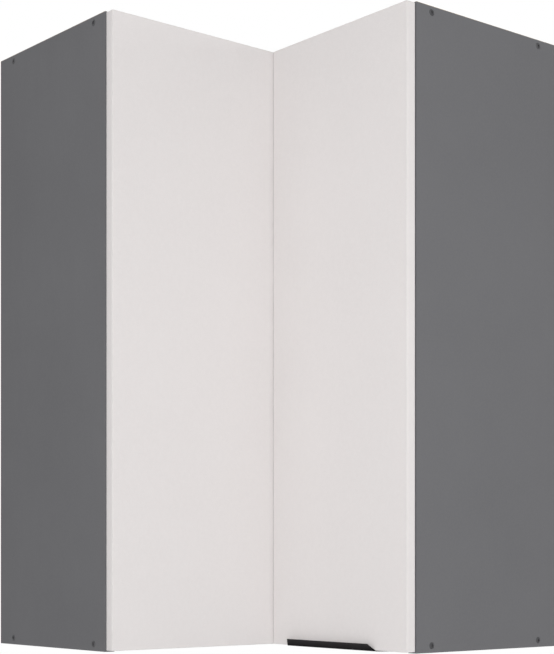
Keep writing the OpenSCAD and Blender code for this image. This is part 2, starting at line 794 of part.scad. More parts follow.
left_end_panel();
right_end_panel();
top_panel();
bottom_panel();
left_back_panel();
right_back_panel();
corner_post();
lower_shelf();
upper_shelf();
shelf_pins();
panel_screws();
post_screws();
left_hanger();
right_hanger();
left_hanger_hook();
right_hanger_hook();
hanger_screws();
left_wall_plate();
right_wall_plate();
lower_hinge_plate();
middle_hinge_plate();
upper_hinge_plate();
lower_hinge_arm();
middle_hinge_arm();
upper_hinge_arm();
lower_hinge_link();
middle_hinge_link();
upper_hinge_link();
lower_hinge_cup();
middle_hinge_cup();
upper_hinge_cup();
hinge_arm_pins();
hinge_cup_pins();
hinge_plate_screws();
hinge_cup_screws();
lower_fold_leaf_left();
middle_fold_leaf_left();
upper_fold_leaf_left();
lower_fold_leaf_right();
middle_fold_leaf_right();
upper_fold_leaf_right();
fold_pins();
fold_screws_left();
fold_screws_right();
left_door();
right_door();
edge_pull();
pull_screws();
door_bumpers();
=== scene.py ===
# Corner wall cabinet: boards, doors, pull, screws, finishes and the studio round them.
# Lengths are metres in the cabinet's own frame: +x runs along one wall, -y along the other, z is up.
import math

import bpy
import numpy as np
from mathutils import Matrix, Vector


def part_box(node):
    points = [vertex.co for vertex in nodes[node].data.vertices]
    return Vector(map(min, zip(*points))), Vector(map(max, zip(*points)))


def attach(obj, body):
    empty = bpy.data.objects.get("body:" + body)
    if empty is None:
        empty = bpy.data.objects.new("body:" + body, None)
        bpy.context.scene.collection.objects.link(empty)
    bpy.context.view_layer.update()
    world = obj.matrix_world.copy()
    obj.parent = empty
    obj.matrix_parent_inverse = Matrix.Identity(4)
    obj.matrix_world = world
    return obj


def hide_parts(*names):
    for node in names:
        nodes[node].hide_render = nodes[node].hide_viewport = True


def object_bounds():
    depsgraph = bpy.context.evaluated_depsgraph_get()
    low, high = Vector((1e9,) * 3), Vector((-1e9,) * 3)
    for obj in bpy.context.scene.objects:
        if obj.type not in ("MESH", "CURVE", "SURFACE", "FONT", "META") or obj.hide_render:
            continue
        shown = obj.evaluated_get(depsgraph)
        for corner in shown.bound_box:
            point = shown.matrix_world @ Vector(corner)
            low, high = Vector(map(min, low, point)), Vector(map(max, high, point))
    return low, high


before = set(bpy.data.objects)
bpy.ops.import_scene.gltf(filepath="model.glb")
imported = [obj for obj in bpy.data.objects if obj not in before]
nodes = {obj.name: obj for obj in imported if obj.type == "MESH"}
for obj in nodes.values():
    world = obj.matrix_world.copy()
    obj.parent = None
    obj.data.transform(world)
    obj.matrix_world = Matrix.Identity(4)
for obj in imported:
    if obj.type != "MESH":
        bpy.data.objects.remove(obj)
cadLow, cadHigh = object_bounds()
scene = bpy.context.scene
print("frame loaded,", len(nodes), "nodes")

mm = 0.001


def boxOf(name):
    low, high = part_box(name)
    return np.array(low), np.array(high)


# The camera that fits the photograph's edges
cameraSetup = {
    "place": (2.1363, -1.8118, 0.1338),
    "turn": 0.8742,                 # radians about z, from looking along +y
    "focalPixels": 1561.8,
    "frameWidth": 554,
    "frameHeight": 654,
    "axisColumn": 285.9,            # pixel that the lens points at
    "axisRow": 556.7,               # the horizon's row
    "sensor": 36.0,
    "reach": 100,
}


def makeCamera(setup):
    longSide = max(setup["frameWidth"], setup["frameHeight"])
    data = bpy.data.cameras.new("camera")
    data.sensor_fit = "AUTO"
    data.sensor_width = setup["sensor"]
    data.lens = setup["focalPixels"] * setup["sensor"] / longSide
    data.shift_x = (setup["frameWidth"] / 2 - setup["axisColumn"]) / longSide
    data.shift_y = (setup["axisRow"] - setup["frameHeight"] / 2) / longSide
    data.clip_end = setup["reach"]
    camera = bpy.data.objects.new("camera", data)
    camera.location = setup["place"]
    camera.rotation_euler = (math.pi / 2, 0, setup["turn"])
    scene.collection.objects.link(camera)
    scene.camera = camera


makeCamera(cameraSetup)
print("camera placed")


# Colours are written as they look on a screen, 0 to 255
def tint(red, green, blue):
    value = np.array((red, green, blue)) / 255
    linear = np.where(value <= 0.04045, value / 12.92, ((value + 0.055) / 1.055) ** 2.4)
    return (*[float(v) for v in linear], 1.0)


# Adds nodes to one tree and links them by socket name or number (i0, i1 and so on)
class Nodes:
    def __init__(self, tree):
        self.tree = tree

    def add(self, kind, **inputs):
        node = self.tree.nodes.new(kind)
        self.set(node, inputs)
        return node

    def set(self, node, inputs):
        for name, value in inputs.items():
            numbered = name[0] == "i" and name[1:].isdigit()
            socket = node.inputs[int(name[1:]) if numbered else name]
            if isinstance(value, bpy.types.NodeSocket):
                self.tree.links.new(value, socket)
            else:
                socket.default_value = value

    def math(self, operation, first, second=0.0):
        node = self.add("ShaderNodeMath", i0=first, i1=second)
        node.operation = operation
        return node.outputs[0]

    def times(self, first, second):
        return self.math("MULTIPLY", first, second)

    def noise(self, vector, scale, detail=3.0, roughness=0.55):
        node = self.add("ShaderNodeTexNoise", Vector=vector, Scale=scale, Detail=detail,
                        Roughness=roughness)
        return node.outputs["Fac"]

    def stretch(self, vector, scale, turn=(0, 0, 0)):
        node = self.add("ShaderNodeMapping", Vector=vector, Rotation=turn, Scale=scale)
        return node.outputs["Vector"]

    def span(self, value, low, high, toLow=0.0, toHigh=1.0):
        node = self.add("ShaderNodeMapRange", Value=value)
        self.set(node, {"From Min": low, "From Max": high, "To Min": toLow, "To Max": toHigh})
        return node.outputs["Result"]

    def blend(self, factor, first, second):
        node = self.add("ShaderNodeMix")
        node.data_type = "RGBA"
        self.set(node, {"i0": factor, "i6": first, "i7": second})
        return node.outputs[2]

    def bump(self, height, distance):
        return self.add("ShaderNodeBump", Height=height, Distance=distance).outputs["Normal"]


# A node group that reads a place and a size and gives the named values
def makeGroup(name, outputs):
    group = bpy.data.node_groups.new(name, "ShaderNodeTree")
    group.interface.new_socket("Place", in_out="INPUT", socket_type="NodeSocketVector")
    group.interface.new_socket("Size", in_out="INPUT", socket_type="NodeSocketFloat")
    for label in outputs:
        group.interface.new_socket(label, in_out="OUTPUT", socket_type="NodeSocketFloat")
    given = group.nodes.new("NodeGroupInput").outputs
    return group, Nodes(group), given["Place"], given["Size"], group.nodes.new("NodeGroupOutput")


# Fine surface grain: two sizes of noise, given as a mask round one half and as a height
grainShape = {"broadSize": 0.22, "smallShare": 0.6, "broadShare": 0.4}


def makeGrainGroup(shape):
    group, tools, where, size, out = makeGroup("fineGrain", ("Mask", "Height"))
    small = tools.noise(where, size, 2.0)
    broad = tools.noise(where, tools.times(size, shape["broadSize"]))
    both = tools.math("ADD", tools.times(small, shape["smallShare"]),
                      tools.times(broad, shape["broadShare"]))
    tools.set(out, {"Mask": both, "Height": both})
    return group


# Hand marks and faint dust: big soft clouds, and smears where long fine noise crosses them
handlingShape = {
    "clouds": (0.3, 0.7), "smears": (0.18, 0.42), "fineSize": 9.0, "fine": (1.0, 1.0, 0.3),
}


def makeHandlingGroup(shape):
    group, tools, where, size, out = makeGroup("handling", ("Clouds", "Smears"))
    clouds = tools.noise(where, size, 4.0, 0.6)
    fine = tools.noise(tools.stretch(where, shape["fine"]), tools.times(size, shape["fineSize"]),
                       5.0, 0.65)
    tools.set(out, {"Clouds": tools.span(clouds, *shape["clouds"]),
                    "Smears": tools.span(tools.times(clouds, fine), *shape["smears"])})
    return group


# Short fine scratches: thin bright lines of a stretched noise, turned two ways
scratchShape = {"turns": (0.5, 2.1), "second": 0.7, "stretch": (1.0, 14.0, 3.0), "wide": 0.012}


def makeScratchGroup(shape):
    group, tools, where, size, out = makeGroup("scratches", ("Mask",))
    lines = []
    for turn in shape["turns"]:
        slanted = tools.stretch(where, shape["stretch"], (turn, turn * shape["second"], turn))
        near = tools.math("ABSOLUTE", tools.math("SUBTRACT", tools.noise(slanted, size, 2.0), 0.5))
        lines.append(tools.span(near, 0.0, shape["wide"], 1.0, 0.0))
    tools.set(out, {"Mask": tools.math("MAXIMUM", *lines)})
    return group


grainGroup = makeGrainGroup(grainShape)
handlingGroup = makeHandlingGroup(handlingShape)
scratchGroup = makeScratchGroup(scratchShape)

# The parts of a noise's range that run from one colour or value to the other
closeSpan = 0.35, 0.65
wideSpan = 0.3, 0.7


def useGroup(tools, group, where, size):
    node = tools.add("ShaderNodeGroup")
    node.node_tree = group
    tools.set(node, {"Place": where, "Size": size})
    return node.outputs


# An empty finish: its node tools, its shader, and the piece's own coordinates
def newMaterial(name):
    material = bpy.data.materials.new(name)
    material.use_nodes = True
    tools = Nodes(material.node_tree)
    tools.tree.nodes.clear()
    shader = tools.add("ShaderNodeBsdfPrincipled")
    tools.add("ShaderNodeOutputMaterial", Surface=shader.outputs[0])
    return material, tools, shader, tools.add("ShaderNodeTexCoord").outputs["Object"]


# 0 on a board's flat faces and 1 on its rim
def edgeShare(tools):
    edge = tools.add("ShaderNodeAttribute")
    edge.attribute_name = "edge"
    return edge.outputs["Fac"]


# Melamine-faced board: a fine pearl grain, faint clouds, and a glue line where the edge band starts
def boardFinish(name, setup):
    material, tools, shader, where = newMaterial(name)
    grain = useGroup(tools, grainGroup, where, setup["grainSize"])
    marks = useGroup(tools, handlingGroup, where, setup["cloudSize"])
    away = tools.math("ABSOLUTE", tools.math("SUBTRACT", edgeShare(tools), 0.5))
    line = tools.times(tools.span(away, *setup["lineSpan"], 1.0, 0.0), setup["line"])
    colour = tools.blend(tools.span(grain["Mask"], *closeSpan), setup["dark"], setup["light"])
    colour = tools.blend(tools.times(marks["Clouds"], setup["clouds"]), colour, setup["cloudTint"])
    colour = tools.blend(line, colour, setup["lineTint"])
    rough = tools.span(marks["Smears"], 0.0, 1.0, setup["roughHigh"], setup["roughLow"])
    tools.set(shader, {"Base Color": colour, "Roughness": rough,
                       "Normal": tools.bump(grain["Height"], setup["grainDepth"]),
                       "Specular IOR Level": setup["specular"]})
    return material


greyBoard = {
    "dark": tint(100, 100, 102), "light": tint(106, 106, 108), "cloudTint": tint(107, 107, 109),
    "lineTint": tint(82, 82, 84), "line": 0.5, "lineSpan": (0.1, 0.3), "clouds": 0.4,
    "grainSize": 1400.0, "grainDepth": 0.00006, "cloudSize": 6.0,
    "roughLow": 0.52, "roughHigh": 0.62, "specular": 0.08,
}
whiteDoor = {
    "dark": tint(211, 207, 206), "light": tint(215, 211, 210), "cloudTint": tint(217, 213, 212),
    "lineTint": tint(188, 182, 178), "line": 0.4, "lineSpan": (0.1, 0.3), "clouds": 0.35,
    "grainSize": 700.0, "grainDepth": 0.00002, "cloudSize": 4.5,
    "roughLow": 0.38, "roughHigh": 0.48, "specular": 0.3,
}
whiteBack = {
    **whiteDoor,
    "dark": tint(206, 206, 205), "light": tint(214, 214, 213), "cloudTint": tint(212, 212, 211),
}


# Raw chipboard or fibreboard: big and small flakes of several browns, pits with painted shade in their
# hollows, and pale splinters
def chipFinish(name, setup):
    material, tools, shader, where = newMaterial(name)
    wobble = tools.add("ShaderNodeTexNoise", Vector=where, Scale=setup["wobbleSize"], Detail=3.0)
    push = tools.add("ShaderNodeVectorMath", i0=wobble.outputs["Color"])
    push.operation = "SCALE"
    tools.set(push, {"Scale": setup["wobble"]})
    bent = tools.add("ShaderNodeVectorMath", i0=where, i1=push.outputs[0]).outputs[0]
    picks, gaps = [], []
    for turn, finer in chipShape["layers"]:
        slanted = tools.stretch(bent, chipShape["flake"], (turn, turn * chipShape["second"], turn))
        flakes = tools.add("ShaderNodeTexVoronoi", Vector=slanted, Scale=setup["flakeSize"] * finer)
        picks.append(tools.add("ShaderNodeSeparateColor", Color=flakes.outputs["Color"]).outputs[0])
        gaps.append(flakes.outputs["Distance"])
    pick = tools.math("ADD", tools.times(picks[0], chipShape["bigShare"]),
                      tools.times(picks[1], chipShape["smallShare"]))
    depth = tools.math("ADD", gaps[0], tools.times(gaps[1], chipShape["smallGap"]))
    pitsAndShade = tools.span(depth, *chipShape["pitsAndShade"])
    grain = useGroup(tools, grainGroup, bent, setup["flakeSize"] * chipShape["splinterSize"])
    colour = tools.blend(tools.span(pick, *chipShape["browns"]), setup["dark"], setup["light"])
    # Painted shade: the pits are darkened in the colour as well as sunk by the bump
    colour = tools.blend(tools.times(pitsAndShade, setup["pitShadeShare"]), colour, setup["pitShade"])
    colour = tools.blend(tools.span(grain["Mask"], *chipShape["splinters"]), colour, setup["splinter"])
    height = tools.math("SUBTRACT", grain["Height"], pitsAndShade)
    tools.set(shader, {"Base Color": colour, "Roughness": tools.span(pick, 0, 1, *chipShape["rough"]),
                       "Normal": tools.bump(height, setup["depth"]),
                       "Specular IOR Level": chipShape["specular"]})
    return material


# What both raw boards share. A layer of flakes is its turn and how much finer it is.
chipShape = {
    "layers": ((0.4, 1.0), (1.3, 2.3)), "second": 0.6, "flake": (1.0, 0.55, 1.0),
    "bigShare": 0.55, "smallShare": 0.45, "smallGap": 0.6, "pitsAndShade": (0.75, 1.15),
    "browns": (0.15, 0.85), "splinterSize": 4, "splinters": (0.56, 0.7, 0.0, 0.5),
    "rough": (0.8, 0.95), "specular": 0.15,
}
rawChip = {
    "dark": tint(158, 126, 90), "light": tint(212, 184, 146), "splinter": tint(228, 206, 172),
    # The pit colour is painted shade in the hollows between flakes
    "pitShade": tint(104, 76, 52), "pitShadeShare": 0.75,
    "flakeSize": 520.0, "wobbleSize": 700.0, "wobble": 0.0016, "depth": 0.00015,
}
hardboard = {
    "dark": tint(118, 86, 58), "light": tint(142, 108, 76), "splinter": tint(150, 118, 86),
    "pitShade": tint(96, 68, 46), "pitShadeShare": 0.4,
    "flakeSize": 1100.0, "wobbleSize": 900.0, "wobble": 0.0015, "depth": 0.00004,
}


# Painted or powder-coated metal, with a pebbled skin, rubbed spots, and paler cut edges that also paint
# a highlight on a lit edge
def coatedMetal(name, setup):
    material, tools, shader, where = newMaterial(name)
    grain = useGroup(tools, grainGroup, where, setup["pebbleSize"])
    marks = useGroup(tools, handlingGroup, where, setup["cloudSize"])
    rubbed = tools.times(marks["Smears"], setup["rubbedShare"])
    edgeWearAndHighlight = tools.times(edgeShare(tools), tools.span(grain["Mask"], *wideSpan, *setup["wearAndHighlightSpan"]))
    colour = tools.blend(tools.span(grain["Mask"], *closeSpan), setup["dark"], setup["light"])
    # The paler cut edge colour is also a painted highlight along the sheet's lit top edge
    colour = tools.blend(edgeWearAndHighlight, tools.blend(rubbed, colour, setup["rubbed"]), setup["cut"])
    rough = tools.span(marks["Smears"], 0, 1, setup["roughHigh"], setup["roughLow"])
    tools.set(shader, {"Base Color": colour, "Roughness": rough,
                       "Normal": tools.bump(grain["Height"], setup["pebbleDepth"]),
                       "Metallic": setup["metallic"], "Specular IOR Level": setup["specular"]})
    return material


blackPowder = {
    "dark": tint(12, 11, 12), "light": tint(17, 15, 16), "rubbed": tint(28, 26, 27),
    # The cut edge colour is also a painted highlight on the pull lip's lit top edge
    "cut": tint(52, 50, 51), "rubbedShare": 0.35, "wearAndHighlightSpan": (0.7, 1.0),
    "pebbleSize": 2200.0, "pebbleDepth": 0.00008, "cloudSize": 30.0,
    "roughLow": 0.48, "roughHigh": 0.6, "metallic": 0.0, "specular": 0.02,
}
blackZinc = {
    "dark": tint(64, 64, 66), "light": tint(76, 76, 78), "rubbed": tint(96, 95, 97),
    "cut": tint(90, 90, 92), "rubbedShare": 0.35, "wearAndHighlightSpan": (0.7, 1.0),
    "pebbleSize": 3000.0, "pebbleDepth": 0.00003, "cloudSize": 60.0,
    "roughLow": 0.32, "roughHigh": 0.45, "metallic": 0.4, "specular": 0.3,
}


# Plated steel: a thin skin with rolling lines, scratches and dull patches
def platedSteel(name, setup):
    material, tools, shader, where = newMaterial(name)
    rolled = tools.noise(tools.stretch(where, setup["rolling"]), setup["rollingSize"])
    marks = useGroup(tools, handlingGroup, where, setup["cloudSize"])
    nicks = useGroup(tools, scratchGroup, where, setup["scratchSize"])
    scratched = tools.times(nicks["Mask"], setup["scratches"])
    colour = tools.blend(tools.span(rolled, *wideSpan), setup["dark"], setup["light"])
    colour = tools.blend(tools.times(marks["Clouds"], setup["clouds"]), colour, setup["dull"])
    rough = tools.span(rolled, *wideSpan, setup["roughLow"], setup["roughHigh"])
    height = tools.math("SUBTRACT", rolled, scratched)
    tools.set(shader, {"Base Color": colour, "Roughness": tools.math("ADD", rough, scratched),
                       "Normal": tools.bump(height, setup["depth"]), "Metallic": 1.0})
    return material


nickel = {
    "dark": tint(176, 174, 170), "light": tint(200, 198, 194), "dull": tint(160, 157, 152),
    "clouds": 0.35, "rolling": (1.0, 1.0, 8.0), "rollingSize": 500.0, "cloudSize": 40.0,
    "scratchSize": 160.0, "scratches": 0.15, "roughLow": 0.24, "roughHigh": 0.34, "depth": 0.0000012,
}
zinc = {
    "dark": tint(168, 173, 180), "light": tint(198, 202, 206), "dull": tint(150, 154, 158),
    "clouds": 0.6, "rolling": (1.0, 1.0, 1.0), "rollingSize": 160.0, "cloudSize": 90.0,
    "scratchSize": 120.0, "scratches": 0.15, "roughLow": 0.32, "roughHigh": 0.46, "depth": 0.00001,
}


# Moulded plastic and rubber: spark-eroded skin and slight flow clouds
def mouldedFinish(name, setup):
    material, tools, shader, where = newMaterial(name)
    grain = useGroup(tools, grainGroup, where, setup["sparkSize"])
    marks = useGroup(tools, handlingGroup, where, setup["cloudSize"])
    rough = tools.span(grain["Mask"], *wideSpan, setup["roughLow"], setup["roughHigh"])
    tools.set(shader, {"Base Color": tools.blend(marks["Clouds"], setup["dark"], setup["light"]),
                       "Roughness": rough, "Normal": tools.bump(grain["Height"], setup["sparkDepth"]),
                       "Specular IOR Level": setup["specular"],
                       "Transmission Weight": setup["clear"]})
    return material


hangerPlastic = {
    "dark": tint(196, 197, 198), "light": tint(208, 209, 210), "sparkSize": 2600.0,
    "sparkDepth": 0.00005, "cloudSize": 25.0, "roughLow": 0.42, "roughHigh": 0.55,
    "specular": 0.45, "clear": 0.0,
}
bumperSilicone = {
    "dark": tint(214, 217, 219), "light": tint(226, 228, 229), "sparkSize": 1800.0,
    "sparkDepth": 0.00002, "cloudSize": 90.0, "roughLow": 0.25, "roughHigh": 0.35,
    "specular": 0.45, "clear": 0.35,
}

laminate = boardFinish("greyLaminate", greyBoard)
doorFilm = boardFinish("whiteDoorFilm", whiteDoor)
whiteFilm = boardFinish("whiteBackFilm", whiteBack)
chip = chipFinish("rawChipboard", rawChip)
brownBoard = chipFinish("hardboardBack", hardboard)
powder = coatedMetal("blackPowderCoat", blackPowder)
darkZinc = coatedMetal("blackZinc", blackZinc)
nickelPlate = platedSteel("nickelPlate", nickel)
zincPlate = platedSteel("zincPlate", zinc)
plastic = mouldedFinish("hangerPlastic", hangerPlastic)
silicone = mouldedFinish("bumperSilicone", bumperSilicone)
print("finishes made")

weldGrid = 1e-7                     # points closer than this become one
tiny = 1e-9


# Collects grids of points, welds those that coincide and makes one closed mesh
class Shell:
    def __init__(self):
        self.points, self.quads, self.smooth, self.skin, self.edge = [], [], [], [], []
        self.count = 0

    # A grid of points, rows by columns. Faces turn rows to columns, so flip turns them inside out.
    def grid(self, points, smooth=True, skin=0, edge=0.0, keep=None, flip=False):
        rows, columns = points.shape[:2]
        index = np.arange(rows * columns).reshape(rows, columns) + self.count
        quads = np.stack([index[:-1, :-1], index[:-1, 1:], index[1:, 1:], index[1:, :-1]], axis=-1)
        skins = np.broadcast_to(np.asarray(skin), (rows - 1, columns - 1))
        if keep is not None:
            quads, skins = quads[keep], skins[keep]
        quads = quads.reshape(-1, 4)
        self.points.append(points.reshape(-1, 3))
        self.edge.append(np.broadcast_to(np.asarray(edge, float), (rows, columns)).reshape(-1))
        self.quads.append(quads[:, ::-1] if flip else quads)
        self.skin.append(skins.reshape(-1))
        self.smooth.append(np.full(len(quads), smooth))
        self.count += rows * columns

    def make(self, name, materials):
        points = np.concatenate(self.points)
        key = np.round(points / weldGrid).astype(np.int64)
        _, first, back = np.unique(key, axis=0, return_index=True, return_inverse=True)
        quads = back.reshape(-1)[np.concatenate(self.quads)]
        fresh = quads != np.roll(quads, 1, axis=1)          # corners that welding left apart
        sides = fresh.sum(axis=1)
        whole = sides > 2
        corners = quads[whole][fresh[whole]]
        sides = sides[whole]
        starts = np.concatenate([[0], np.cumsum(sides)[:-1]])
        skin = np.concatenate(self.skin)[whole]
        mesh = bpy.data.meshes.new(name)
        mesh.vertices.add(len(first))
        mesh.vertices.foreach_set("co", points[first].astype(np.float32).reshape(-1))
        mesh.loops.add(len(corners))
        mesh.loops.foreach_set("vertex_index", corners.astype(np.int32))
        mesh.polygons.add(len(sides))
        mesh.polygons.foreach_set("loop_start", starts.astype(np.int32))
        mesh.polygons.foreach_set("material_index", skin.astype(np.int32))
        mesh.polygons.foreach_set("use_smooth", np.concatenate(self.smooth)[whole])
        edge = mesh.attributes.new("edge", "FLOAT", "POINT")
        edge.data.foreach_set("value", np.concatenate(self.edge)[first].astype(np.float32))
        mesh.update(calc_edges=True)
        mesh.validate()
        for material in materials:
            mesh.materials.append(material)
        piece = bpy.data.objects.new(name, mesh)
        scene.collection.objects.link(piece)
        return piece


def place(piece, body, node):
    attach(piece, body)
    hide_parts(node)


# The nine lines of a hole's square, as eight parts between -1 and 1
holeLines = np.linspace(-1, 1, 9)
edgeSteps = 4                       # parts of each quarter of a board's rounded rim
cornerPoints = 4                    # directions round a board's outer corner


# A square's 32 edge points counter-clockwise, closed
def squareLoop():
    side = holeLines[:-1]
    low, high = np.full_like(side, -1), np.full_like(side, 1)
    u = np.concatenate([side, high, -side, low, [-1]])
    v = np.concatenate([low, side, high, -side, [-1]])
    return np.stack([u, v], axis=1)


# Board: an outline of straight sides with rounded edges. The flat faces are a grid of lines through
# the outline's corners and the holes, and the rim is a half-round profile carried along the outline.
# axes are the three directions as (along, up, thick), in right-handed order.
def board(shell, axes, outline, thickLow, thickHigh, radius, holes=(), rawSides=(), skins=(0, 0)):
    outline = np.asarray(outline, float)
    ahead = np.roll(outline, -1, axis=0) - outline
    length = np.abs(ahead).sum(axis=1, keepdims=True)
    out = np.stack([ahead[:, 1], -ahead[:, 0]], axis=1) / length
    flat = outline - radius * (out + np.roll(out, 1, axis=0))

    def toSpace(u, v, w):
        given = np.broadcast_arrays(u, v, w)
        point = np.empty(given[0].shape + (3,))
        for direction, value in zip(axes, given):
            point[..., direction] = value
        return point

    lines = []
    for direction in (0, 1):
        parts = [flat[:, direction]]
        parts += [hole["at"][direction] + hole["square"] * holeLines for hole in holes]
        lines.append(np.unique(np.round(np.concatenate(parts), 8)))
    u, v = lines
    middleU, middleV = np.meshgrid((u[1:] + u[:-1]) / 2, (v[1:] + v[:-1]) / 2)
    inside = np.zeros(middleU.shape, bool)
    for start, end in zip(flat, np.roll(flat, -1, axis=0)):
        if abs(start[0] - end[0]) < tiny:
            between = (middleV > min(start[1], end[1])) & (middleV < max(start[1], end[1]))
            inside ^= between & (middleU < start[0])
    gridU, gridV = np.meshgrid(u, v)
    for level, side, skin in ((thickHigh, 1, skins[1]), (thickLow, -1, skins[0])):
        keep = inside.copy()
        for hole in holes:
            if hole["side"] == side:
                keep &= ~((np.abs(middleU - hole["at"][0]) < hole["square"])
                          & (np.abs(middleV - hole["at"][1]) < hole["square"]))
                square = squareLoop()
                circle = square / np.linalg.norm(square, axis=1, keepdims=True) * hole["radius"]
                deep = level - side * hole["depth"]
                rings = [(square * hole["square"], level), (circle, level), (circle, deep),
                         (circle * 0, deep)]
                rows = [toSpace(hole["at"][0] + ring[:, 0], hole["at"][1] + ring[:, 1], height)
                        for ring, height in rings]
                shell.grid(np.stack(rows[:2]), smooth=False, skin=skin, flip=side < 0)
                shell.grid(np.stack(rows[1:3]), smooth=True, skin=hole["skin"], flip=side < 0)
                shell.grid(np.stack(rows[2:]), smooth=False, skin=hole["skin"], flip=side < 0)
        shell.grid(toSpace(gridU, gridV, level), smooth=False, keep=keep, flip=side < 0, skin=skin)

    # The rim's path: points on every grid line, and a fan of directions at each outer corner
    path, heading, owner = [], [], []
    for k in range(len(flat)):
        before, here = out[k - 1], out[k]
        if before[0] * here[1] - before[1] * here[0] > 0:
            turn = np.linspace(0, math.pi / 2, cornerPoints)[:, None]
            fan = before * np.cos(turn) + here * np.sin(turn)
        else:
            fan = (before + here)[None]
        path.append(np.repeat(flat[k][None], len(fan), axis=0))
        heading.append(fan)
        owner.append(np.where(np.arange(len(fan)) < len(fan) / 2, (k - 1) % len(flat), k))
        start, end = flat[k], flat[(k + 1) % len(flat)]
        moving = 0 if abs(start[0] - end[0]) > tiny else 1
        low, high = sorted((start[moving], end[moving]))
        between = lines[moving][(lines[moving] > low + weldGrid) & (lines[moving] < high - weldGrid)]
        between = between if end[moving] > start[moving] else between[::-1]
        extra = np.repeat(start[None], len(between), axis=0)
        extra[:, moving] = between
        path.append(extra)
        heading.append(np.repeat(here[None], len(between), axis=0))
        owner.append(np.full(len(between), k))
    path, heading, owner = np.concatenate(path), np.concatenate(heading), np.concatenate(owner)
    path, heading = np.vstack([path, path[:1]]), np.vstack([heading, heading[:1]])
    angle = np.linspace(0, math.pi / 2, edgeSteps + 1)
    reach = radius * np.concatenate([np.sin(angle), np.sin(angle)[::-1]])[:, None]
    drop = radius * (1 - np.cos(angle))
    level = np.concatenate([thickHigh - drop, thickLow + drop[::-1]])[:, None]
    nearEdge = np.concatenate([angle, angle[::-1]])[:, None] / (math.pi / 2)
    rim = toSpace(path[None, :, 0] + reach * heading[None, :, 0],
                  path[None, :, 1] + reach * heading[None, :, 1], level)
    sideSkin = np.where(np.isin(owner, rawSides), 1, 0)[None, :]
    shell.grid(rim, smooth=True, edge=nearEdge, skin=sideSkin, flip=True)


roundSteps = 32                     # parts of a circle


# Turned piece: rings of points round an axis, from the bottom up. A ring is its radius, its height and
# whether the faces below it are smooth. The radius is a number, or one value for each angle.
def turned(shell, centre, outward, rings, steps=roundSteps):
    outward = np.asarray(outward, float)
    first = np.roll(outward, 1)
    second = np.cross(outward, first)
    angle = np.linspace(0, 2 * math.pi, steps + 1)
    around = np.cos(angle)[:, None] * first + np.sin(angle)[:, None] * second
    rows = [np.asarray(centre) + np.broadcast_to(radius, angle.shape)[:, None] * around
            + height * outward for radius, height, _ in rings]
    for low, high, ring in zip(rows[:-1], rows[1:], rings[1:]):
        shell.grid(np.stack([low, high]), smooth=ring[2])


def hexagon(angle, across):
    wedge = np.mod(angle, math.pi / 3) - math.pi / 6
    return across / 2 / np.cos(wedge)


# Four arms: the radius falls to a third between them
def cross(angle, across):
    return across / 2 * (0.34 + 0.66 * np.abs(np.cos(2 * angle)) ** 6)


# How every screw head is turned, as shares of its radius, softness, dome, socket and socket's depth
headShape = {
    "shank": 0.45, "curve": 0.3, "crown": 0.5, "crownRise": 0.7, "flare": 1.06, "flareDrop": 0.05 * mm,
    "taper": 0.93, "point": 1.1,
}


# Screw head on a face. dome is how far its middle stands above its rim.
def screwHead(shell, centre, outward, setup):
    shape = headShape
    socket = setup["socket"](np.linspace(0, 2 * math.pi, roundSteps + 1), setup["across"])
    radius, low, high, soft = setup["radius"], setup["low"], setup["high"], setup["soft"]
    shank, bottom = radius * shape["shank"], low - setup["shank"]
    crown = radius * shape["crown"] + socket * (1 - shape["crown"])
    top = high + setup["dome"]
    turned(shell, centre, outward, [
        (0, bottom, False),
        (shank, bottom, False),
        (shank, low, False),
        (radius, high - soft - setup["rim"], False),
        (radius, high - soft, True),
        (radius - shape["curve"] * soft, high - shape["curve"] * soft, True),
        (radius - soft, high, True),
        (crown, high + setup["dome"] * shape["crownRise"], True),
        (socket * shape["flare"], top, True),
        (socket, top - shape["flareDrop"], False),
        (socket * shape["taper"], top - setup["deep"], False),
        (0, top - setup["deep"] * shape["point"], False),
    ])


bendSteps = 6                       # parts of each bend of a sheet


# Points along a bent line: each inner corner becomes an arc of the given radius
def roundedLine(corners, radii):
    corners = [np.asarray(corner, float) for corner in corners]
    line = [corners[0][None]]
    for before, corner, after, radius in zip(corners[:-2], corners[1:-1], corners[2:], radii):
        toBefore = (before - corner) / np.linalg.norm(before - corner)
        toAfter = (after - corner) / np.linalg.norm(after - corner)
        half = math.acos(float(np.clip(toBefore @ toAfter, -1, 1))) / 2
        inward = toBefore + toAfter
        middle = corner + inward / np.linalg.norm(inward) * radius / math.sin(half)
        start = corner + toBefore * radius / math.tan(half) - middle
        end = corner + toAfter * radius / math.tan(half) - middle
        part = np.linspace(0, 1, bendSteps + 1)[:, None]
        spread = math.pi - 2 * half
        sweep = start * np.sin((1 - part) * spread) + end * np.sin(part * spread)
        line.append(middle + sweep / math.sin(spread))
    line.append(corners[-1][None])
    return np.concatenate(line)


tipSteps = 3                        # parts of each quarter of a sheet's round edge


# Closed profile of a bent sheet: its middle line offset to both sides, with half-round ends. It starts
# and turns at the ends' tips, so that point k faces point -k across the sheet.
def sheetProfile(line, thick):
    ahead = np.gradient(line, axis=0)
    ahead /= np.linalg.norm(ahead, axis=1, keepdims=True)
    left = np.stack([-ahead[:, 1], ahead[:, 0]], axis=1)
    half = thick / 2
    angle = np.linspace(0, math.pi / 2, tipSteps + 1)[1:-1, None]
    inFirst, inLast = line[0] + ahead[0] * half, line[-1] - ahead[-1] * half
    first = inFirst - ahead[0] * half * np.cos(angle)
    last = inLast + ahead[-1] * half * np.cos(angle[::-1])
    body = line.copy()
    body[0], body[-1] = inFirst, inLast
    sides = []
    for sign in (1, -1):
        sides.append(np.concatenate([
            first + sign * left[0] * half * np.sin(angle), body + sign * left * half,
            last + sign * left[-1] * half * np.sin(angle[::-1])]))
    tips = (inFirst - ahead[0] * half)[None], (inLast + ahead[-1] * half)[None]
    return np.concatenate([tips[0], sides[0], tips[1], sides[1][::-1]])


print("mesh tools ready")

